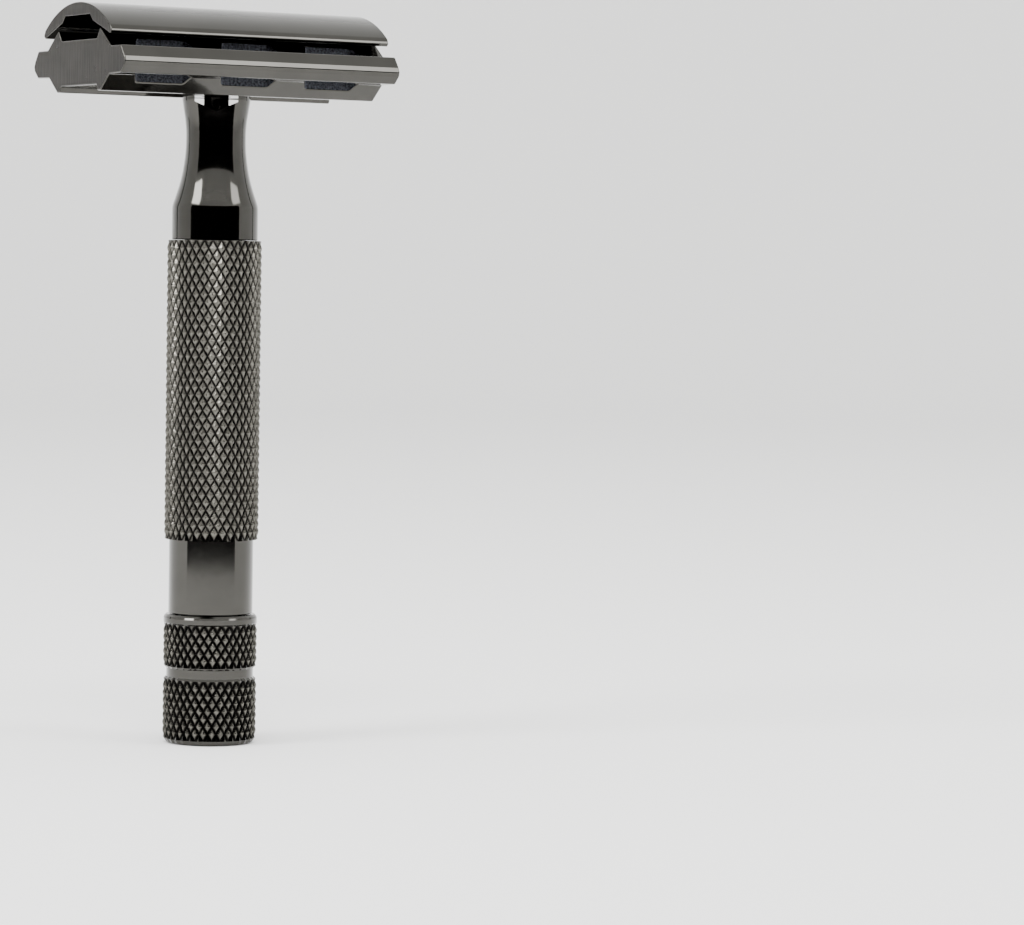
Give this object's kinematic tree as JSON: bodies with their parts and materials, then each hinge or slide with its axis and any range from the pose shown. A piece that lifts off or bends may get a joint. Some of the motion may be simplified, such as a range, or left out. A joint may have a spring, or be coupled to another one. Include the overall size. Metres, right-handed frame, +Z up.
{
  "type": "safety razor",
  "caption": "Double-edge safety razor with an open-bar head, a domed cap and a knurled handle whose foot knob raises and lowers the cap.",
  "frame": {"origin": "middle of the knob's foot, on the handle's axis", "axes": "+Z up the handle to the head, +X along the head, +Y across the head"},
  "size_m": [0.0432, 0.0282, 0.1025],
  "materials": {
    "plated_head": "polished black-nickel plate",
    "plated_handle": "polished black-nickel plate",
    "knurled_grip": "black-nickel plate over diamond knurling",
    "steel": "turned stainless steel",
    "spring_steel": "drawn spring wire",
    "bronze": "sintered bronze",
    "brass": "turned brass",
    "acetal": "moulded acetal"
  },
  "bodies": {
    "handle": {"base_plate": "plated_head", "neck": "plated_handle", "core_tube": "plated_handle", "grip_sleeve": "knurled_grip", "lower_bush": "bronze", "upper_bush": "bronze", "spring_seat": "steel", "thrust_washer": "bronze", "lift_spring": "spring_steel"},
    "knob": {"draw_sleeve": "brass", "draw_rod": "steel", "cross_pin": "steel", "knob": "knurled_grip", "wear_washer": "acetal", "knob_screw": "steel", "end_disc": "plated_handle"},
    "cap": {"cap": "plated_head", "cap_stud": "steel", "locating_pin_left": "steel", "locating_pin_right": "steel"}
  },
  "joints": [
    {"name": "cap_lift", "type": "slide", "parent": "handle", "child": "cap", "axis": [0, 0, 1], "range_m": [0, 0.0048]},
    {"name": "knob_turn", "type": "hinge", "parent": "handle", "child": "knob", "pos_m": [0, 0, 0.009], "axis": [0, 0, -1], "range_deg": [0, 2880]}
  ],
  "couplings": [
    {"joint": "knob_turn", "follows": "cap_lift", "rad_per_m": 10472}
  ]
}
